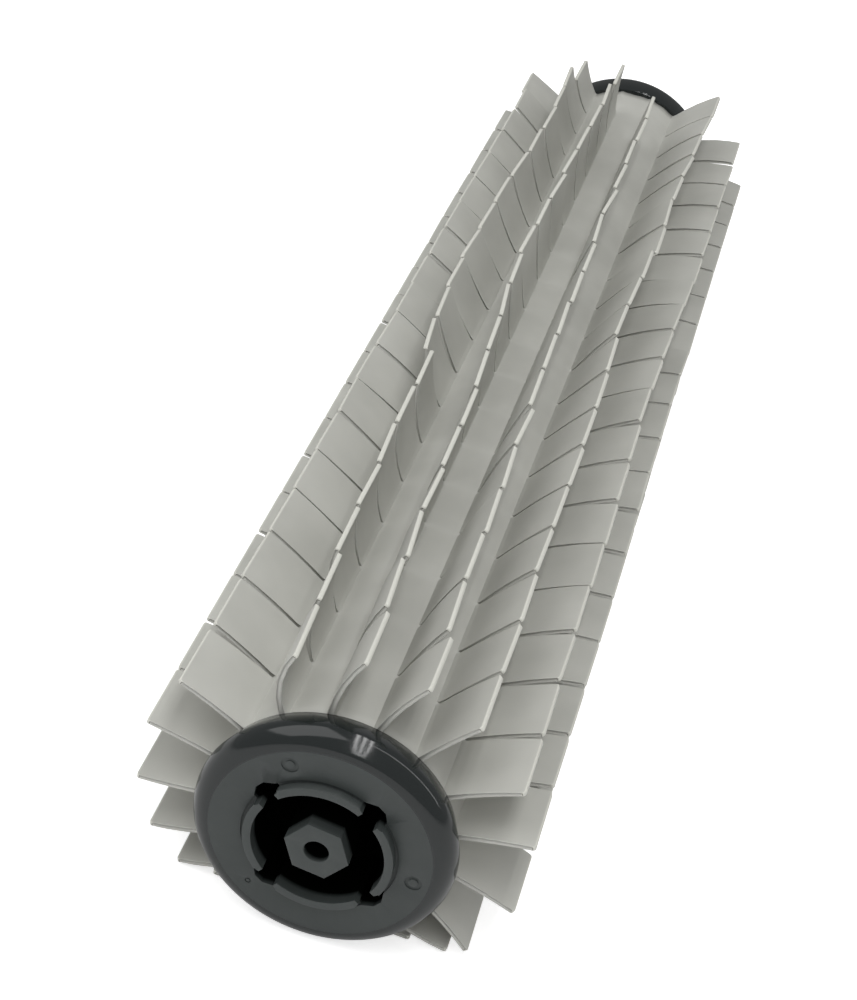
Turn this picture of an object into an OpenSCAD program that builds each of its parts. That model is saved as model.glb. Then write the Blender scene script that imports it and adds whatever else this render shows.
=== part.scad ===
// Pool cleaner brush roller: a moulded sleeve with slit blades, on a core tube between two hub caps.
// Millimetres. The roller's axis runs along Y with the near cap at -Y. Z is up and the floor is Z = 0,
// on which the two cap rims rest. Angles round the axis go from +X towards +Z.

/* [Blades] */
// Number of blades round the sleeve
blade_count = 16; // [12:1:20]
// Number of tabs that the slits cut each blade into
tab_count = 19; // [15:1:24]
// Distance from one slit to the next
tab_pitch = 20; // [16:0.5:24]
// Width of a slit
slit_w = 0.8; // [0.5:0.1:1.6]
// Height of a blade above the sleeve
blade_h = 19; // [15:0.5:23]
// Thickness of a blade where it grows out of the sleeve
root_t = 1.6; // [1.2:0.1:2.2]
// Thickness of a blade at its free edge
tip_t = 1.1; // [0.8:0.1:1.5]

/* [Sleeve and tube] */
// Outside radius of the sleeve
sleeve_r = 27.8; // [24:0.1:32]
// Wall of the sleeve
sleeve_wall = 2; // [1.5:0.1:3]
// Wall of the core tube
tube_wall = 2.4; // [1.8:0.1:3]
// Clearance of the sleeve on the tube, and of the cap's spigot in it
fit_gap = 0.1; // [0.05:0.05:0.3]

/* [Caps] */
// How far the cap's rim stands above the sleeve
rim_step = 3; // [2:0.1:5]
// From the sleeve's end to the flat face of the cap
cap_depth = 10.2; // [8:0.1:13]
// Radius of the rounded shoulder between rim and face
shoulder_r = 5; // [3:0.1:6.5]
// Thickness of the moulded walls of the cap
cap_wall = 3; // [2:0.1:3.6]
// Length of the spigot inside the core tube
spigot_len = 22; // [16:0.5:30]
// Inside radius of the round socket in the face
socket_r = 14.8; // [13:0.1:17]
// Depth of the socket below the flat face
socket_deep = 25; // [18:0.5:30]
// Thickness of the raised lip round the socket
lip_t = 2.6; // [2:0.1:3.2]
// How far the lip stands above the face
lip_h = 1.8; // [1:0.1:3]
// Corner radius of the six-sided post
post_r = 7.7; // [6.5:0.1:9]
// How far the post stands above the face
post_h = 2.2; // [1:0.1:3.5]
// Radius of the pin hole through the post
pin_r = 2.95; // [2.4:0.05:3.5]

/* [Hidden] */
roll_len = tab_count * tab_pitch;
flange_r = sleeve_r + rim_step;
sleeve_bore_r = sleeve_r - sleeve_wall;
tube_r = sleeve_bore_r - fit_gap;
bore_r = tube_r - tube_wall;
spigot_r = bore_r - fit_gap;
lip_r = socket_r + lip_t;
socket_floor = cap_depth - socket_deep;
post_end = cap_depth + post_h;
// A blade turns about a line half a root thickness under the surface, so no lean can part it from it
pivot_r = sleeve_r - root_t / 2;
reach = blade_h + root_t / 2;
cap_turn = 53.65;
$fn = 96;
// The blades have taken a set in use. Each row is the lean of one blade in degrees, as knots of
// [tab, lean] from the near end, and a tab between two knots takes a lean between theirs.
lean_rows = [
    [[0, 2], [1, 3.5], [4, -1], [6, 1], [7, 5.5], [10, 4], [12, -5.5], [16, -7], [18, -12.5]],
    [[0, -7], [2, -4.5], [5, -5], [8, 2], [11, -5.5], [13, -14.5], [18, -18]],
    [[0, -4.5], [3, -2], [6, -3], [9, 4.5], [12, -3.5], [15, -3.5], [18, -13]],
    [[0, -16.5], [1, -12], [5, -6], [8, -1], [13, 2], [18, 1]],
    [[0, -27], [2, -19], [5, -14.5], [8, -4], [9, 0.5], [10, 1], [14, -4], [18, -8]],
    [[0, -33], [2, -25], [6, -18], [7, -8], [9, 0], [10, 0], [14, -10.5], [18, -6]],
    [[0, 5.5], [3, -0.5], [5, 1], [7, 4.5], [9, 1], [11, 3.5], [15, -1.5], [17, -2], [18, 3]],
    [[0, -1], [5, 1], [8, -1], [12, 3], [18, 6]],
    [[0, -5], [8, 1], [11, -2], [18, 4]],
    [[0, -18], [6, -8], [12, -8], [18, -4]],
    [[0, 0]], [[0, 0]], [[0, 0]], [[0, 0]],
    [[0, -8], [8, -2], [12, -5], [15, -3], [18, -6]],
    [[0, -5], [8, 1], [18, -9]]];
// Tabs left on a blade, counted from the near end: [blade, tabs]
torn = [[3, tab_count - 2], [4, tab_count - 1]];
// One tab that has worn lower than the rest: [blade, tab, share of the height]
worn = [5, tab_count - 1, 0.7];

// Angle of blade n round the axis
function blade_angle(n) = (n + 0.5) * 360 / blade_count;

// Tabs that blade n still has
function tabs_left(n) = let (hit = [for (t = torn) if (t[0] == n) t[1]]) len(hit) > 0 ? hit[0] : tab_count;

// Height above the floor of the line that blade n turns about
function pivot_z(n) = flange_r + pivot_r * sin(blade_angle(n));

// A blade under the roller is pressed outwards until its edge lies on the floor
function pressed(n) = pivot_z(n) + reach * sin(blade_angle(n)) < tip_t / 2;
function drop_angle(n) = asin((pivot_z(n) - tip_t / 2) / reach);
function pressed_lean(n) = cos(blade_angle(n)) >= 0
    ? 360 - drop_angle(n) - blade_angle(n) : 180 + drop_angle(n) - blade_angle(n);

function table_lean(n, k) = lookup(k * 18 / (tab_count - 1), lean_rows[n % len(lean_rows)]);
function lean(n, k) = pressed(n) ? pressed_lean(n) : table_lean(n, k);
function tab_reach(n, k) = (n == worn[0] && k == worn[1]) ? reach * worn[2] : reach;

// Section of one tab, thinning to its free edge, drawn square to the roller's axis
module tab_section(n, k) {
    r = tab_reach(n, k);
    rotate(blade_angle(n)) translate([pivot_r, 0]) rotate(lean(n, k))
        polygon([[0, -root_t / 2], [r, -tip_t / 2], [r, tip_t / 2], [0, root_t / 2]]);
}

// Puts a shape drawn round +Z on the roller's axis, its Z = 0 at the near end and growing to +Y
module on_axis() {
    translate([0, -roll_len / 2, flange_r]) mirror([0, 1, 0]) rotate([90, 0, 0]) children();
}

// Flexible sleeve and its slit blades, moulded in one
module brush_sleeve() {
    color([0.60, 0.60, 0.57]) on_axis() {
        difference() {
            cylinder(h = roll_len, r = sleeve_r);
            translate([0, 0, -1]) cylinder(h = roll_len + 2, r = sleeve_bore_r);
        }
        for (k = [0 : tab_count - 1]) {
            lo = k * tab_pitch + (k == 0 ? 0 : slit_w / 2);
            hi = (k + 1) * tab_pitch - (k == tab_count - 1 ? 0 : slit_w / 2);
            translate([0, 0, lo]) linear_extrude(height = hi - lo)
                for (n = [0 : blade_count - 1]) if (k < tabs_left(n)) tab_section(n, k);
        }
    }
}

// Rigid tube that the sleeve is fitted on
module core_tube() {
    color([0.80, 0.80, 0.78]) on_axis() difference() {
        cylinder(h = roll_len, r = tube_r);
        translate([0, 0, -1]) cylinder(h = roll_len + 2, r = bore_r);
    }
}

// Half section of the cap's shell, x from the axis and y outwards from the sleeve's end
module cap_section() {
    // Flange with its rounded shoulder
    difference() {
        union() {
            translate([socket_r, 0]) square([flange_r - socket_r, cap_depth - shoulder_r]);
            translate([socket_r, 0]) square([flange_r - shoulder_r - socket_r, cap_depth]);
            translate([flange_r - shoulder_r, cap_depth - shoulder_r]) circle(shoulder_r);
        }
        // Hollow behind the face, between the spigot and the socket wall
        translate([lip_r, -1]) square([spigot_r - cap_wall - lip_r, cap_depth - cap_wall + 1]);
        // Shallow groove round the lip
        translate([lip_r, cap_depth - 0.5]) square([0.9, 1]);
    }
    // Spigot that goes into the core tube
    translate([spigot_r - cap_wall, -spigot_len]) square([cap_wall, spigot_len + 1]);
    // Socket wall, floor and raised lip
    translate([socket_r, socket_floor - cap_wall]) square([lip_t, socket_deep + cap_wall + lip_h]);
    translate([0, socket_floor - cap_wall]) square([socket_r + 1, cap_wall]);
}

// One notch of the lip: a narrow neck through the lip, then a wider head that comes to a point
module notch() {
    deep = 1.6;
    translate([0, 0, cap_depth - deep]) linear_extrude(height = deep + lip_h + 1)
        polygon([[socket_r - 1, -1.8], [socket_r + 1.8, -1.8], [socket_r + 2.1, -2.9],
            [lip_r + 0.3, -2.9], [lip_r + 1.8, -1], [lip_r + 1.8, 1], [lip_r + 0.3, 2.9],
            [socket_r + 2.1, 2.9], [socket_r + 1.8, 1.8], [socket_r - 1, 1.8]]);
}

// Ejector mark: a shallow ring in the face
module ejector_mark(turn, size) {
    rotate(turn) translate([(lip_r + flange_r - shoulder_r) / 2 + 0.8, 0, cap_depth - 0.3])
        difference() {
            cylinder(h = 1, r = size, $fn = 32);
            translate([0, 0, -1]) cylinder(h = 3, r = size * 0.55, $fn = 32);
        }
}

// Hub cap, drawn round +Z with its outer face up and the sleeve's end at Z = 0
module cap() {
    difference() {
        union() {
            rotate_extrude() cap_section();
            rotate(cap_turn) translate([0, 0, socket_floor - 1])
                cylinder(h = post_end - socket_floor + 1, r = post_r, $fn = 6);
        }
        translate([0, 0, socket_floor - cap_wall - 1])
            cylinder(h = post_end - socket_floor + cap_wall + 2, r = pin_r);
        for (k = [0 : 3]) rotate(cap_turn + 90 * k) notch();
        ejector_mark(117, 2);
        ejector_mark(231.4, 0.75);
        ejector_mark(355, 2);
    }
}

module end_cap_near() {
    color([0.27, 0.29, 0.29]) translate([0, -roll_len / 2, flange_r]) rotate([90, 0, 0]) cap();
}

module end_cap_far() {
    color([0.27, 0.29, 0.29]) translate([0, roll_len / 2, flange_r])
        mirror([0, 1, 0]) rotate([90, 0, 0]) cap();
}

brush_sleeve();
core_tube();
end_cap_near();
end_cap_far();
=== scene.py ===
# %% [markdown]
# A used brush roller of a pool cleaner lies on a white floor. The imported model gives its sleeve, tube
# and two caps at their real size. This lesson gives the sleeve's blades their bent, worn look, gives
# the caps their moulded edges, and lights them.

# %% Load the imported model
import math

import bpy
import numpy as np
from mathutils import Matrix, Vector


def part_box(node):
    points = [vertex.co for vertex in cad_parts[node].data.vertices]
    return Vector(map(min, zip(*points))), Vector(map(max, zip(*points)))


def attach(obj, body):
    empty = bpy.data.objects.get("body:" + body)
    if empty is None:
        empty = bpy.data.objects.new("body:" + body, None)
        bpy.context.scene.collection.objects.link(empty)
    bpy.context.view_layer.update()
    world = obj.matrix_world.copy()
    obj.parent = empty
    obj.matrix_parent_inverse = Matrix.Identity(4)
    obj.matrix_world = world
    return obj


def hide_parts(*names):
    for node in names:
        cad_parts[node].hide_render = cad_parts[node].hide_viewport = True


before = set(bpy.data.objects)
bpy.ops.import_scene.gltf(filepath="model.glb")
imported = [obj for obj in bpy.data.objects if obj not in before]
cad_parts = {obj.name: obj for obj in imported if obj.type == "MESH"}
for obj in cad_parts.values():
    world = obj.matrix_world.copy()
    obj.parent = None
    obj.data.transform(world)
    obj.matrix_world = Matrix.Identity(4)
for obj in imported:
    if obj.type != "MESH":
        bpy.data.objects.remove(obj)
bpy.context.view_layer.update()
print("pieces", sorted(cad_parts))

# %% [markdown]
# The brush is measured in millimetres, as a maker would, and Blender works in metres. So each length
# below is written as a number of millimetres times MM.

# %% Sizes of the roller
MM = 0.001
TAB_PITCH = 20 * MM
TAB_COUNT = 19
BLADE_COUNT = 16
SLIT_ROOT = 1.0 * MM
SLIT_TIP = 1.6 * MM
BLADE_HEIGHT = 19 * MM
ROOT_THICK = 1.5 * MM
TIP_THICK = 1.15 * MM
SLEEVE_RADIUS = 27.8 * MM
SLEEVE_BORE = 25.8 * MM
ROLL_LENGTH = TAB_COUNT * TAB_PITCH
AXIS_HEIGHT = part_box("end_cap_near")[1][2] / 2
NEAR_END = -ROLL_LENGTH / 2
rng = np.random.default_rng(7)
print("axis height", round(AXIS_HEIGHT, 4))


# %% [markdown]
# Every surface here is a grid of points: rows run one way over it and columns the other. One helper
# turns such a grid, or a stack of equal grids, into a mesh, with no loop over the points.

# %% Grids into meshes
def grid_faces(rows, columns, close_rows=False, close_columns=False):
    """Corner numbers of the quads of a grid: each joins a point to the next row and next column."""
    r = np.arange(rows if close_rows else rows - 1)
    c = np.arange(columns if close_columns else columns - 1)
    r, c = np.meshgrid(r, c, indexing="ij")
    r_next, c_next = (r + 1) % rows, (c + 1) % columns
    quads = [r * columns + c, r * columns + c_next, r_next * columns + c_next, r_next * columns + c]
    return np.stack(quads, -1).reshape(-1, 4)


def make_mesh(name, points, quads, smooth=True):
    """A mesh object from an array of points and an array of quads."""
    mesh = bpy.data.meshes.new(name)
    mesh.vertices.add(len(points))
    mesh.vertices.foreach_set("co", np.asarray(points, np.float32).ravel())
    mesh.loops.add(quads.size)
    mesh.loops.foreach_set("vertex_index", quads.astype(np.int32).ravel())
    mesh.polygons.add(len(quads))
    mesh.polygons.foreach_set("loop_start", np.arange(0, quads.size, 4, dtype=np.int32))
    mesh.polygons.foreach_set("use_smooth", np.full(len(quads), smooth))
    mesh.update(calc_edges=True)
    mesh.validate()
    piece = bpy.data.objects.new(name, mesh)
    bpy.context.scene.collection.objects.link(piece)
    return piece


def point_values(piece, name, values):
    """Stores one number per point under a name that materials can read."""
    layer = piece.data.attributes.new(name, "FLOAT", "POINT")
    layer.data.foreach_set("value", np.asarray(values, np.float32).ravel())


# %% [markdown]
# The camera stands where the photographer's did: low over the near cap, looking along the roller, and
# tilted, so that the roller runs up to the right. It is set by its place, the point it looks at and
# its roll about that line.

# %% Camera
CAMERA_PLACE = Vector((42.47, -528.11, 355.55)) * MM
CAMERA_TARGET = Vector((-10.86, -58.61, 30.0)) * MM
CAMERA_ROLL = math.radians(13.883)
SENSOR = 36.0
FOCAL_SHARE = 2.06577


def add_camera():
    """Points the camera's -Z at the target with Z up, then rolls it about its own line of sight."""
    data = bpy.data.cameras.new("camera")
    data.sensor_fit = "VERTICAL"
    data.sensor_height = SENSOR
    data.lens = FOCAL_SHARE * SENSOR
    camera = bpy.data.objects.new("camera", data)
    bpy.context.scene.collection.objects.link(camera)
    aim = (CAMERA_TARGET - CAMERA_PLACE).to_track_quat("-Z", "Y").to_matrix().to_4x4()
    camera.matrix_world = Matrix.Translation(CAMERA_PLACE) @ aim @ Matrix.Rotation(CAMERA_ROLL, 4, "Z")
    bpy.context.scene.camera = camera
    return camera


camera = add_camera()
print("camera at", [round(v, 3) for v in camera.location])

# %% [markdown]
# The blades are one soft moulding with the sleeve. Each is slit into tabs down to its root, and every
# tab has taken its own set. So a tab is drawn as a strip bent along an arc, and what changes from tab
# to tab is how far it leans and how much it bends. The leans are knots along each blade, in degrees,
# and a tab takes the value between two knots.

# %% How each blade has set
LEAN_KNOTS = {
    0: [(0, 2), (1, 3.5), (4, -1), (6, 1), (7, 5.5), (10, 4), (12, -5.5), (16, -7), (18, -12.5)],
    1: [(0, -7), (2, -4.5), (5, -5), (8, 2), (11, -5.5), (13, -14.5), (18, -18)],
    2: [(0, -4.5), (3, -2), (6, -3), (9, 4.5), (12, -3.5), (15, -3.5), (18, -13)],
    3: [(0, -16.5), (1, -12), (5, -6), (8, -1), (13, 2), (18, 1)],
    4: [(0, -27), (2, -19), (5, -14.5), (8, -4), (9, 0.5), (10, 1), (14, -4), (18, -8)],
    5: [(0, -33), (2, -25), (6, -18), (7, -8), (9, 0), (10, 0), (14, -9), (15, -12), (18, -6)],
    6: [(0, 5.5), (3, -0.5), (5, 1), (7, 4.5), (9, 1), (11, 3.5), (15, -1.5), (17, -2), (18, 3)],
    7: [(0, -1), (5, 1), (8, -1), (12, 3), (18, 6)],
    8: [(0, -5), (8, 1), (11, -2), (18, 4)],
    9: [(0, -18), (6, -8), (12, -8), (18, -4)],
    14: [(0, -8), (8, -2), (12, -5), (15, -3), (18, -6)],
    15: [(0, -5), (8, 1), (18, -9)],
}
BEND_KNOTS = {
    0: [(0, -6), (18, -14)],
    1: [(0, -10), (18, -20)],
    2: [(0, -10), (9, -6), (18, -16)],
    3: [(0, -22), (3, -10), (18, -4)],
    4: [(0, -34), (3, -22), (9, -6), (18, -10)],
    5: [(0, -60), (1, -40), (6, -28), (8, -10), (18, -18)],
    6: [(0, 10), (18, 6)],
    7: [(0, 6), (18, 8)],
    8: [(0, -8), (18, 6)],
    9: [(0, -16), (18, -6)],
    14: [(0, -12), (18, -8)],
    15: [(0, -8), (18, -10)],
}
PRESSED_BEND = {10: -22, 11: -12, 12: 12, 13: 22}
TABS_LEFT = {3: TAB_COUNT - 2, 4: TAB_COUNT - 1}
WORN_TAB = (5, TAB_COUNT - 1, 0.72)


def blade_angle(blade):
    """Angle of a blade round the axis, from +X towards +Z, in degrees."""
    return (blade + 0.5) * 360 / BLADE_COUNT


def between_knots(knots, tab):
    """Straight-line value between the two nearest knots of a blade."""
    where, value = zip(*knots)
    return float(np.interp(tab, where, value))


def pressed_lean(blade):
    """Lean that lays a blade's free edge on the floor: the drop of its chord is what its root height
    leaves, and it falls outwards, to the side that the blade is on."""
    angle = math.radians(blade_angle(blade))
    root_height = AXIS_HEIGHT + SLEEVE_RADIUS * math.sin(angle)
    drop = math.degrees(math.asin((root_height - 1.25 * TIP_THICK) / BLADE_HEIGHT))
    if math.cos(angle) >= 0:
        return 360 - drop - blade_angle(blade)
    return 180 + drop - blade_angle(blade)


def tab_table():
    """One row per tab: blade angle, lean at its two sides, bend, reach, where it starts along Y, and
    whether each of its sides is a slit."""
    rows = []
    for blade in range(BLADE_COUNT):
        for tab in range(TABS_LEFT.get(blade, TAB_COUNT)):
            stir = rng.normal(0, 1, 4)
            if blade in PRESSED_BEND:
                lean = pressed_lean(blade)
                sides = (lean, lean)
                bend = PRESSED_BEND[blade]
            else:
                lean = between_knots(LEAN_KNOTS[blade], tab) + 0.9 * stir[0]
                knots = LEAN_KNOTS[blade]
                slope = between_knots(knots, tab + 0.5) - between_knots(knots, tab - 0.5)
                twist = 0.35 * slope + 0.8 * stir[1]
                sides = (lean - twist, lean + twist)
                bend = between_knots(BEND_KNOTS[blade], tab) + 2.5 * stir[2]
            reach = BLADE_HEIGHT * (WORN_TAB[2] if (blade, tab) == WORN_TAB[:2] else 1)
            low = NEAR_END + tab * TAB_PITCH
            slit_sides = (0 if tab == 0 else 1, 0 if tab == TAB_COUNT - 1 else 1)
            rows.append((blade_angle(blade), *sides, bend, reach, low, *slit_sides))
    return np.array(rows)


tabs = tab_table()
print("tabs", len(tabs))

# %% [markdown]
# The section of a tab is a closed loop of points: up one face, round the free edge, down the other
# face. Its middle line is an arc. An arc that turns by an angle k over its length has its chord at
# half that turn, and the chord is the length times sin(k/2) over k/2, which numpy gives as sinc.

# %% Section loop and rings of a tab
FACE_STEPS = np.array([-0.07, 0.0, 0.035, 0.09, 0.3, 0.55, 0.8, 0.975])
ROOT_FLARE = 0.9 * MM
CORNER = 0.7 * MM
TIP_ROUND = 0.16 * MM
SIDE_THIN = 0.14
RING_INSETS = np.array([0.0, 0.06, 0.22, 0.5, 1.0])


def section_loop():
    """Along-blade share, side from -1 to 1, and how much the point belongs to the free edge."""
    edge_side = np.array([-1, -0.82, 0, 0.82, 1])
    edge_nose = np.array([0, 1, 1, 1, 0])
    along = np.concatenate([FACE_STEPS, np.ones(5), FACE_STEPS[::-1]])
    side = np.concatenate([-np.ones(len(FACE_STEPS)), edge_side, np.ones(len(FACE_STEPS))])
    nose = np.concatenate([0 * FACE_STEPS, edge_nose, 0 * FACE_STEPS])
    free = np.concatenate([0 * FACE_STEPS, np.ones(5), 0 * FACE_STEPS])
    return along, side, nose, free


def ring_places():
    """Share of a tab's width for each ring, and its distance from the nearer side in corner radii."""
    width = TAB_PITCH - SLIT_TIP
    start = RING_INSETS * CORNER / width
    share = np.concatenate([start, [0.5], 1 - start[::-1]])
    inset = np.concatenate([RING_INSETS, [1.0], RING_INSETS[::-1]])
    return share, inset


def tab_points():
    """Points of all tabs as an array: tab, ring, point of the loop, and x, y, z.

    The corners of the free edge are quarter circles: near a side the reach falls by the corner radius
    times one less the root of (1 less the square of (1 less the inset)). The outermost ring is a
    little thinner, so that each side has a rounded rim. A slit opens from root to free edge.
    """
    along, side, nose, free = section_loop()
    share, inset = ring_places()
    angle, lean_low, lean_high, bend, reach, low, slit_low, slit_high = [
        column[:, None, None] for column in tabs.T
    ]
    share = share[None, :, None]
    inset = inset[None, :, None]
    lean = np.radians(lean_low + (lean_high - lean_low) * share)
    angle = np.radians(angle)
    turn = np.radians(bend) + 1e-6
    cut = CORNER * (1 - np.sqrt(np.clip(1 - (1 - inset) ** 2, 0, 1)))
    length = (reach - cut) * along
    bent = turn * length / reach
    chord = length * np.sinc(bent / (2 * np.pi))
    heading = angle + lean - turn / 2
    thick = ROOT_THICK + (TIP_THICK - ROOT_THICK) * np.clip(along, 0, 1)
    flare = ROOT_FLARE * np.exp(-np.clip(along, 0, 1) * BLADE_HEIGHT / (0.7 * MM))
    half = (thick / 2 + flare / 2) * (1 - SIDE_THIN * (1 - np.clip(inset / 0.22, 0, 1)))
    radial = SLEEVE_RADIUS * np.cos(angle) + chord * np.cos(heading + bent / 2)
    height = SLEEVE_RADIUS * np.sin(angle) + chord * np.sin(heading + bent / 2)
    across = half * side
    ahead = (nose - 1) * TIP_ROUND * (along == 1)
    facing = heading + bent
    x = radial - across * np.sin(facing) + ahead * np.cos(facing)
    z = height + across * np.cos(facing) + ahead * np.sin(facing) + AXIS_HEIGHT
    slit = SLIT_ROOT + (SLIT_TIP - SLIT_ROOT) * np.clip(along, 0, 1)
    start = low + slit_low * slit / 2
    width = TAB_PITCH - (slit_low + slit_high) * slit / 2
    y = start + width * share + 0 * x
    return np.stack([x, y, np.maximum(z, 0.02 * MM)], -1), free + 0 * x


def stacked_faces(points):
    """Quads of every tab: the wall of its loop, the foot, and the two flat sides."""
    count, rings, loop = points.shape[:3]
    wall = grid_faces(rings, loop, close_columns=True)
    pair = np.arange(loop // 2)
    across = np.stack([pair[:-1], pair[1:], loop - 2 - pair[:-1], loop - 1 - pair[:-1]], -1)
    near_side = across
    far_side = (across + (rings - 1) * loop)[:, ::-1]
    one = np.concatenate([wall, near_side, far_side])
    return (one[None] + (np.arange(count) * rings * loop)[:, None, None]).reshape(-1, 4)


points, edge_highlight_share = tab_points()
tab_quads = stacked_faces(points)
print("tab points", points.shape, "quads", len(tab_quads))

# %% [markdown]
# The sleeve itself is a tube. Where a blade grows out of it there is a low fillet, and it sinks a
# little between the blades, as a soft moulding on a tube does.

# %% Sleeve
ROUND_STEPS = 256
LONG_STEPS = 96
FILLET_RISE = 0.45 * MM
FILLET_WIDTH = 1.1 * MM
DENTS = ((19, 16, 0.10 * MM), (31, 23, 0.08 * MM), (43, 37, 0.05 * MM), (13, 9, 0.12 * MM))


def sleeve_points():
    """The outer skin, one end, the bore and the other end as one closed grid: the radius rises near
    each blade root by a bell curve of the distance round the sleeve, and dips in a few crossed waves."""
    turn = np.linspace(0, 2 * np.pi, ROUND_STEPS, endpoint=False)
    pitch = 2 * np.pi / BLADE_COUNT
    off = (np.mod(turn, pitch) - pitch / 2) * SLEEVE_RADIUS
    rise = FILLET_RISE * np.exp(-((off / FILLET_WIDTH) ** 2))
    y = np.linspace(NEAR_END, -NEAR_END, LONG_STEPS)
    calm = 1 - np.exp(-((off / (2 * FILLET_WIDTH)) ** 2))
    dents = np.zeros((LONG_STEPS, ROUND_STEPS))
    for waves_long, waves_round, depth in DENTS:
        shift = rng.uniform(0, 2 * np.pi, 2)
        long_wave = np.sin(2 * np.pi * waves_long * y / ROLL_LENGTH + shift[0])
        dents += depth * np.outer(long_wave, np.sin(waves_round * turn + shift[1]))
    outer = SLEEVE_RADIUS + rise[None, :] + dents * calm
    bore = np.full((2, ROUND_STEPS), SLEEVE_BORE)
    radius = np.concatenate([outer, bore])
    along = np.concatenate([y, [-NEAR_END, NEAR_END]])[:, None] + 0 * radius
    x = radius * np.cos(turn)
    z = radius * np.sin(turn) + AXIS_HEIGHT
    return np.stack([x, along, z], -1)


sleeve_grid = sleeve_points()
sleeve_quads = grid_faces(len(sleeve_grid), ROUND_STEPS, close_rows=True, close_columns=True)
tab_total = points.reshape(-1, 3)
sleeve_total = sleeve_grid.reshape(-1, 3)
sleeve = make_mesh(
    "slit_blade_sleeve",
    np.concatenate([tab_total, sleeve_total]),
    np.concatenate([tab_quads, sleeve_quads + len(tab_total)]),
)
# The free-edge share goes into the mesh for the painted highlight that makes the tab edges paler.
point_values(sleeve, "painted_edge_highlight", np.concatenate([edge_highlight_share.ravel(), np.zeros(len(sleeve_total))]))
sleeve.data.set_sharp_from_angle(angle=math.radians(50))
print("sleeve quads", len(sleeve.data.polygons))


# %% [markdown]
# Which way a quad faces depends on the order of its corners. The sum over a closed mesh of each
# corner's place times the face's normal is three times its volume, so a minus sign would mean that it
# is inside out.

# %% Facing of the new mesh
def face_outwards(piece, first, last):
    """Turns the faces from first to last round if the volume that they enclose comes out negative."""
    mesh = piece.data
    corners = np.empty(len(mesh.polygons) * 4, np.int32)
    mesh.loops.foreach_get("vertex_index", corners)
    places = np.empty(len(mesh.vertices) * 3, np.float32)
    mesh.vertices.foreach_get("co", places)
    quad = places.reshape(-1, 3)[corners.reshape(-1, 4)[first:last]].astype(float)
    volume = 0.0
    for a, b, c in ((0, 1, 2), (0, 2, 3)):
        volume += (quad[:, a] * np.cross(quad[:, b], quad[:, c])).sum() / 6
    if volume < 0:
        flipped = corners.reshape(-1, 4).copy()
        flipped[first:last] = flipped[first:last, ::-1]
        mesh.loops.foreach_set("vertex_index", flipped.ravel())
        mesh.update(calc_edges=True)
    return volume


tab_faces = len(tab_quads)
print("tabs cm3", round(face_outwards(sleeve, 0, tab_faces) * 1e6, 1))
print("tube cm3", round(face_outwards(sleeve, tab_faces, len(sleeve.data.polygons)) * 1e6, 1))

# %% [markdown]
# Moulded pieces catch light on their edges, so sharp corners look wrong. Each cap is a copy of the
# imported piece, with its loose triangles joined, and a narrow bevel on every corner. Its rim narrows
# towards the sleeve, and its four notches go deep, so that they read as black; the material adds
# painted shade inside them.

# %% Caps with moulded edges
EDGE_ANGLE = math.radians(32)
EDGE_WIDTH = 0.28 * MM
RIM_RADIUS = 30.8 * MM
RIM_BACK_RADIUS = 29.0 * MM
NOTCH_OUTLINE = [
    (13.9, -2.4), (16.5, -2.4), (16.8, -3.6), (17.9, -3.6), (19.7, -1.2),
    (19.7, 1.2), (17.9, 3.6), (16.8, 3.6), (16.5, 2.4), (13.9, 2.4),
]
LIP_BORE = (14.0 * MM, 15.4 * MM)
NOTCH_FLOOR = 186 * MM
NOTCH_TOP = 204 * MM
CAP_TURN = 53.65


def hidden_cutter(name, points, quads):
    """A closed mesh that only cuts: it shows neither in the picture nor on the screen."""
    cutter = make_mesh(name, points, quads, smooth=False)
    face_outwards(cutter, 0, len(quads))
    cutter.hide_render = True
    cutter.hide_viewport = True
    return cutter


def notch_cutter(name, end):
    """Four prisms round the axis, each the notch outline drawn out along Y. End is -1 near and 1 far."""
    outline = np.array(NOTCH_OUTLINE) * MM
    count = len(outline)
    turn = np.radians(CAP_TURN + 90 * np.arange(4))[:, None]
    x = outline[:, 0] * np.cos(turn) - outline[:, 1] * np.sin(turn)
    z = outline[:, 0] * np.sin(turn) + outline[:, 1] * np.cos(turn) + AXIS_HEIGHT
    depths = np.array([NOTCH_FLOOR, NOTCH_TOP]) * end
    layers = [np.stack([x, np.full(x.shape, depth), z], -1) for depth in depths]
    rings = np.stack(layers, 1)
    wall = grid_faces(2, count, close_columns=True)
    half = count // 2
    pair = np.arange(half - 1)
    lid = np.stack([pair, pair + 1, count - 2 - pair, count - 1 - pair], -1)
    one = np.concatenate([wall, lid[:, ::-1], lid + count])
    quads = (one[None] + (np.arange(4) * 2 * count)[:, None, None]).reshape(-1, 4)
    return hidden_cutter(name, rings.reshape(-1, 3), quads)


def lip_cutter(name, end):
    """A ring that thins the lip from inside: four corners of its section, carried round the axis."""
    turn = np.linspace(0, 2 * np.pi, 96, endpoint=False)
    radius = np.array([LIP_BORE[0], LIP_BORE[1], LIP_BORE[1], LIP_BORE[0]])[:, None]
    depth = np.array([NOTCH_FLOOR, NOTCH_FLOOR, NOTCH_TOP, NOTCH_TOP])[:, None] * end
    y = depth + 0 * turn
    rings = np.stack([radius * np.cos(turn), y, radius * np.sin(turn) + AXIS_HEIGHT], -1)
    quads = grid_faces(4, len(turn), close_rows=True, close_columns=True)
    return hidden_cutter(name, rings.reshape(-1, 3), quads)


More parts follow.
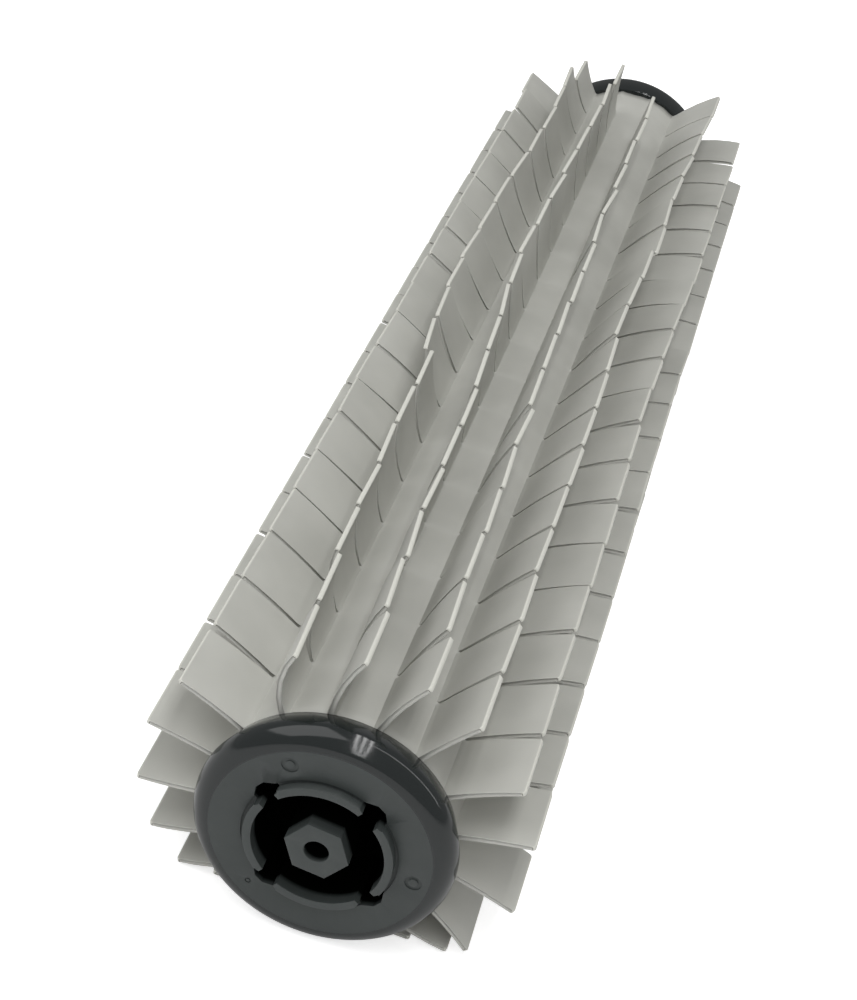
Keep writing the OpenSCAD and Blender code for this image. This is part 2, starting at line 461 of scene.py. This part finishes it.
def narrow_rim(mesh):
    """Draws the rim's back edge in: points on the rim's radius at the sleeve's end move to a smaller one."""
    places = np.empty(len(mesh.vertices) * 3, np.float32)
    mesh.vertices.foreach_get("co", places)
    places = places.reshape(-1, 3).astype(float)
    out = places - np.array([0, 0, AXIS_HEIGHT])
    radius = np.hypot(out[:, 0], out[:, 2])
    back = (radius > RIM_RADIUS - 0.05 * MM) & (np.abs(places[:, 1]) < ROLL_LENGTH / 2 + 0.05 * MM)
    share = np.where(back, RIM_BACK_RADIUS / np.maximum(radius, MM), 1.0)
    places[:, 0] = out[:, 0] * share
    places[:, 2] = out[:, 2] * share + AXIS_HEIGHT
    mesh.vertices.foreach_set("co", places.astype(np.float32).ravel())
    mesh.update()
    return int(back.sum())


def cap_with_edges(name, node, end):
    """A joined copy of a packed cap with deep notches and a narrow bevel on its real corners."""
    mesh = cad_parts[node].data.copy()
    mesh.name = name
    mesh.materials.clear()
    piece = bpy.data.objects.new(name, mesh)
    bpy.context.scene.collection.objects.link(piece)
    weld = piece.modifiers.new("join", "WELD")
    weld.merge_threshold = 0.01 * MM
    for cutter in (lip_cutter(name + "_lip", end), notch_cutter(name + "_notches", end)):
        cut = piece.modifiers.new("cut", "BOOLEAN")
        cut.operation = "DIFFERENCE"
        cut.solver = "EXACT"
        cut.object = cutter
    print("rim points moved", narrow_rim(mesh))
    tidy = piece.modifiers.new("join again", "WELD")
    tidy.merge_threshold = 0.07 * MM
    bevel = piece.modifiers.new("edges", "BEVEL")
    bevel.width = EDGE_WIDTH
    bevel.segments = 2
    bevel.limit_method = "ANGLE"
    bevel.angle_limit = EDGE_ANGLE
    bevel.use_clamp_overlap = True
    bevel.harden_normals = True
    mesh.polygons.foreach_set("use_smooth", np.full(len(mesh.polygons), True))
    return piece


near_cap = cap_with_edges("near_hub_cap", "end_cap_near", -1)
far_cap = cap_with_edges("far_hub_cap", "end_cap_far", 1)
print("cap faces", len(near_cap.data.polygons))


# %% [markdown]
# A material is a small recipe of nodes. Soft grey PVC is matt with a slight sheen and clouded by age.
# Its free edges are painted paler, a painted highlight for the light that they catch, so its colour is
# mixed from a cloud pattern and from the edge value that the mesh carries.

# %% Helpers for materials
def new_material(name):
    """A node material with its Principled shader, and the tools to add nodes to it."""
    material = bpy.data.materials.new(name)
    material.use_nodes = True
    nodes = material.node_tree.nodes
    return material, nodes, material.node_tree.links, nodes["Principled BSDF"]


def shade(value):
    """Linear value of a grey or colour that is given as it looks on a screen, from 0 to 255."""
    return [((v / 255 + 0.055) / 1.055) ** 2.4 if v > 10 else v / 255 / 12.92 for v in value] + [1.0]


def clouds_group():
    """Node group: two sizes of noise on object coordinates, as a mask from 0 to 1 and a fine height."""
    group = bpy.data.node_groups.new("moulding_clouds", "ShaderNodeTree")
    group.interface.new_socket("Size", in_out="INPUT", socket_type="NodeSocketFloat")
    group.interface.new_socket("Grain", in_out="INPUT", socket_type="NodeSocketFloat")
    group.interface.new_socket("Clouds", in_out="OUTPUT", socket_type="NodeSocketFloat")
    group.interface.new_socket("Height", in_out="OUTPUT", socket_type="NodeSocketFloat")
    nodes, links = group.nodes, group.links
    source = nodes.new("NodeGroupInput")
    sink = nodes.new("NodeGroupOutput")
    place = nodes.new("ShaderNodeTexCoord")
    broad = nodes.new("ShaderNodeTexNoise")
    broad.inputs["Detail"].default_value = 3
    fine = nodes.new("ShaderNodeTexNoise")
    fine.inputs["Detail"].default_value = 2
    for noise, size in ((broad, "Size"), (fine, "Grain")):
        links.new(place.outputs["Object"], noise.inputs["Vector"])
        links.new(source.outputs[size], noise.inputs["Scale"])
    spread = nodes.new("ShaderNodeMapRange")
    spread.inputs["From Min"].default_value = 0.3
    spread.inputs["From Max"].default_value = 0.7
    links.new(broad.outputs["Fac"], spread.inputs["Value"])
    links.new(spread.outputs["Result"], sink.inputs["Clouds"])
    links.new(fine.outputs["Fac"], sink.inputs["Height"])
    return group


clouds = clouds_group()


def add_clouds(nodes, size, grain):
    """Places the cloud group in a material with its own two sizes."""
    node = nodes.new("ShaderNodeGroup")
    node.node_tree = clouds
    node.inputs["Size"].default_value = size
    node.inputs["Grain"].default_value = grain
    return node


def add_mix(nodes, links, mask, low, high):
    """Colour mixed from low to high by a mask."""
    mix = nodes.new("ShaderNodeMix")
    mix.data_type = "RGBA"
    for socket, value in ((mix.inputs[6], low), (mix.inputs[7], high)):
        if isinstance(value, list):
            socket.default_value = value
        else:
            links.new(value, socket)
    links.new(mask, mix.inputs[0])
    return mix.outputs[2]


def add_bump(nodes, links, height, strength, distance):
    """A Bump node that turns a height into a normal."""
    bump = nodes.new("ShaderNodeBump")
    bump.inputs["Strength"].default_value = strength
    bump.inputs["Distance"].default_value = distance
    links.new(height, bump.inputs["Height"])
    return bump.outputs["Normal"]


# %% [markdown]
# The free edges of the tabs are painted paler than the moulded faces, a painted highlight for the light
# that these edges catch. The mesh says where they are.

# %% Grey moulding of the sleeve
def sleeve_material():
    """Soft grey moulding: clouded grey, a fine grain, and free edges made paler by a painted highlight."""
    material, nodes, links, shader = new_material("soft_grey_moulding")
    pattern = add_clouds(nodes, 45, 2600)
    body = add_mix(nodes, links, pattern.outputs["Clouds"], shade((172, 172, 166)), shade((184, 184, 178)))
    # Painted highlight: the free edges of the tabs are made paler, for the light that they catch.
    edge = nodes.new("ShaderNodeAttribute")
    edge.attribute_name = "painted_edge_highlight"
    colour = add_mix(nodes, links, edge.outputs["Fac"], body, shade((200, 200, 192)))
    links.new(colour, shader.inputs["Base Color"])
    shader.inputs["Roughness"].default_value = 0.55
    shader.inputs["Specular IOR Level"].default_value = 0.35
    normal = add_bump(nodes, links, pattern.outputs["Height"], 0.12, 0.05 * MM)
    links.new(normal, shader.inputs["Normal"])
    return material


# %% [markdown]
# The caps are hard and dark. Their rim is polished by use and painted darker, a painted shade for the
# dark room that it reflects; their face is matt, and their openings are painted black as painted shade.
# Where each of these begins is worked out from how far a point is from the axis, and how far along it.

# %% Dark moulding of the caps
FACE_END = ROLL_LENGTH / 2 + 10.2 * MM
LIP_END = FACE_END + 1.8 * MM


def add_range(nodes, links, value, low, high):
    """Mask that goes from 0 at the low value to 1 at the high one, which may be the smaller."""
    node = nodes.new("ShaderNodeMapRange")
    node.inputs["From Min"].default_value = low
    node.inputs["From Max"].default_value = high
    links.new(value, node.inputs["Value"])
    return node.outputs["Result"]


def add_maths(nodes, links, operation, first, second=None):
    """One Math node, fed by one socket or two."""
    node = nodes.new("ShaderNodeMath")
    node.operation = operation
    links.new(first, node.inputs[0])
    if second is not None:
        links.new(second, node.inputs[1])
    return node.outputs[0]


def cap_masks(nodes, links):
    """Masks of the cap from object coordinates: deep inside the openings, the lip's top, and the rim.

    The distance from the axis is the length of a point's x and z, and the depth is the size of its y.
    """
    place = nodes.new("ShaderNodeTexCoord")
    shift = nodes.new("ShaderNodeVectorMath")
    shift.operation = "MULTIPLY_ADD"
    shift.inputs[1].default_value = (1, 0, 1)
    shift.inputs[2].default_value = (0, 0, -AXIS_HEIGHT)
    links.new(place.outputs["Object"], shift.inputs[0])
    distance = nodes.new("ShaderNodeVectorMath")
    distance.operation = "LENGTH"
    links.new(shift.outputs["Vector"], distance.inputs[0])
    split = nodes.new("ShaderNodeSeparateXYZ")
    links.new(place.outputs["Object"], split.inputs[0])
    depth = add_maths(nodes, links, "ABSOLUTE", split.outputs["Y"])
    # Painted shade: this mask darkens the cap deep inside the socket and the notches, and in the pin hole.
    inside = add_range(nodes, links, distance.outputs["Value"], 22.0 * MM, 21.0 * MM)
    deep = add_range(nodes, links, depth, FACE_END - 0.15 * MM, FACE_END - 1.6 * MM)
    pin = add_range(nodes, links, distance.outputs["Value"], 3.3 * MM, 3.1 * MM)
    pin_deep = add_range(nodes, links, depth, LIP_END + 0.3 * MM, LIP_END - 1.2 * MM)
    socket = add_maths(nodes, links, "MULTIPLY", inside, deep)
    hole = add_maths(nodes, links, "MULTIPLY", pin, pin_deep)
    lip = add_range(nodes, links, depth, LIP_END - 0.5 * MM, LIP_END - 0.1 * MM)
    rim = add_range(nodes, links, distance.outputs["Value"], 25.6 * MM, 26.3 * MM)
    return add_maths(nodes, links, "MAXIMUM", socket, hole), lip, rim


def cap_material():
    """Hard slate moulding: a matt face, a polished rim painted darker as painted shade, a little paler on
    top of the lip, and painted black deep in the socket, the notches and the pin hole as painted shade."""
    material, nodes, links, shader = new_material("slate_moulding")
    pattern = add_clouds(nodes, 60, 3200)
    colour = add_mix(nodes, links, pattern.outputs["Clouds"], shade((48, 53, 52)), shade((54, 59, 58)))
    dark, lip, rim = cap_masks(nodes, links)
    # Painted shade: the polished rim is darkened to stand for the dark room that it reflects.
    colour = add_mix(nodes, links, rim, colour, shade((22, 27, 27)))
    # The top of the lip is a little paler.
    colour = add_mix(nodes, links, lip, colour, shade((56, 61, 60)))
    # Painted shade: near black deep in the openings, where shade falls.
    colour = add_mix(nodes, links, dark, colour, shade((3, 4, 3)))
    links.new(colour, shader.inputs["Base Color"])
    # The painted shade of the openings also takes away their sheen.
    gloss = nodes.new("ShaderNodeMapRange")
    gloss.inputs["To Min"].default_value = 0.5
    gloss.inputs["To Max"].default_value = 0.0
    links.new(dark, gloss.inputs["Value"])
    links.new(gloss.outputs["Result"], shader.inputs["Specular IOR Level"])
    rough = nodes.new("ShaderNodeMapRange")
    rough.inputs["To Min"].default_value = 0.50
    rough.inputs["To Max"].default_value = 0.11
    links.new(rim, rough.inputs["Value"])
    links.new(rough.outputs["Result"], shader.inputs["Roughness"])
    normal = add_bump(nodes, links, pattern.outputs["Height"], 0.08, 0.03 * MM)
    links.new(normal, shader.inputs["Normal"])
    return material


# %% Pale tube inside
def tube_material():
    """Plain pale plastic of the hidden tube."""
    material, nodes, links, shader = new_material("pale_tube_plastic")
    pattern = add_clouds(nodes, 30, 1800)
    colour = add_mix(nodes, links, pattern.outputs["Clouds"], shade((205, 205, 200)), shade((214, 214, 209)))
    links.new(colour, shader.inputs["Base Color"])
    shader.inputs["Roughness"].default_value = 0.45
    return material


sleeve_finish = sleeve_material()
cap_finish = cap_material()
sleeve.data.materials.append(sleeve_finish)
near_cap.data.materials.append(cap_finish)
far_cap.data.materials.append(cap_finish)
tube_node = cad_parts["core_tube"]
tube_node.data.materials.clear()
tube_node.data.materials.append(tube_material())
print("materials", [m.name for m in bpy.data.materials])

# %% [markdown]
# The new pieces take the places of the imported ones. Each rides on the root body, and the imported
# node that it replaces is hidden.

# %% Pieces take the places of their nodes
for piece, node, finish in (
    (sleeve, "brush_sleeve", "sleeve_pvc"),
    (near_cap, "end_cap_near", "cap_plastic"),
    (far_cap, "end_cap_far", "cap_plastic"),
):
    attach(piece, "root")
    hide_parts(node)


# %% [markdown]
# The object lies on a plain white floor. A product photo's floor is so bright that it reads as pure
# white, so the floor shows white to the camera except where the object's shadow darkens it.

# %% Floor
FLOOR_SIZE = 6.0
FLOOR_GLOW = 0.62


def white_floor():
    """A large flat floor. To the camera it adds light of its own, so that it reads as white."""
    half = FLOOR_SIZE / 2
    corners = np.array([(-half, -half, 0), (half, -half, 0), (half, half, 0), (-half, half, 0)])
    floor = make_mesh("floor", corners, np.array([[0, 1, 2, 3]]), smooth=False)
    material, nodes, links, shader = new_material("white_floor")
    shader.inputs["Base Color"].default_value = (0.85, 0.85, 0.85, 1)
    shader.inputs["Roughness"].default_value = 0.9
    shader.inputs["Specular IOR Level"].default_value = 0.0
    path = nodes.new("ShaderNodeLightPath")
    glow = nodes.new("ShaderNodeEmission")
    glow.inputs["Color"].default_value = (1, 1, 1, 1)
    level = nodes.new("ShaderNodeMath")
    level.operation = "MULTIPLY"
    level.inputs[1].default_value = FLOOR_GLOW
    links.new(path.outputs["Is Camera Ray"], level.inputs[0])
    links.new(level.outputs[0], glow.inputs["Strength"])
    total = nodes.new("ShaderNodeAddShader")
    links.new(shader.outputs[0], total.inputs[0])
    links.new(glow.outputs[0], total.inputs[1])
    links.new(total.outputs[0], nodes["Material Output"].inputs["Surface"])
    floor.data.materials.append(material)
    return floor


floor = white_floor()

# %% [markdown]
# The light is a bright room with a stronger lamp, high on the left and a little in front. Its
# slanting light leaves each blade's right face in shade and draws the shadows beside the roots. Three
# long tubes overhead and one to the right draw the thin streaks that the cap's rim shows.

# %% Light
SKY_STRENGTH = 0.43
LAMP_AIM = Vector((0, -60, 35)) * MM


def add_lamp(name, place, size, watts, length=None, aim=LAMP_AIM):
    """An area lamp at a place, turned to face the aim point. A long one runs along Y."""
    data = bpy.data.lights.new(name, "AREA")
    data.size = size
    if length is not None:
        data.shape = "RECTANGLE"
        data.size_y = length
    data.energy = watts
    lamp = bpy.data.objects.new(name, data)
    bpy.context.scene.collection.objects.link(lamp)
    turn = (aim - place).to_track_quat("-Z", "Y").to_matrix().to_4x4()
    lamp.matrix_world = Matrix.Translation(place) @ turn
    return lamp


def sky():
    """Even grey light from all round, which shows as white behind the object."""
    world = bpy.data.worlds.new("studio")
    world.use_nodes = True
    nodes, links = world.node_tree.nodes, world.node_tree.links
    back = nodes["Background"]
    back.inputs["Color"].default_value = (1, 1, 1, 1)
    path = nodes.new("ShaderNodeLightPath")
    level = nodes.new("ShaderNodeMapRange")
    level.inputs["To Min"].default_value = SKY_STRENGTH
    level.inputs["To Max"].default_value = 1.0
    links.new(path.outputs["Is Camera Ray"], level.inputs["Value"])
    links.new(level.outputs["Result"], back.inputs["Strength"])
    bpy.context.scene.world = world


sky()
add_lamp("left_lamp", Vector((-0.62, -0.35, 0.95)), 1.0, 4.7)
for number, side in enumerate((0.04, 0.13, 0.22)):
    middle = Vector((side, -1.35, 1.0))
    add_lamp(f"tube_{number}", middle, 0.03, 4.1, length=3.4, aim=middle + Vector((0, 0.01, -1)))
add_lamp("right_tube", Vector((0.98, -0.05, 1.0)), 0.04, 1.8, length=1.8)
bpy.context.scene.view_settings.view_transform = "Standard"
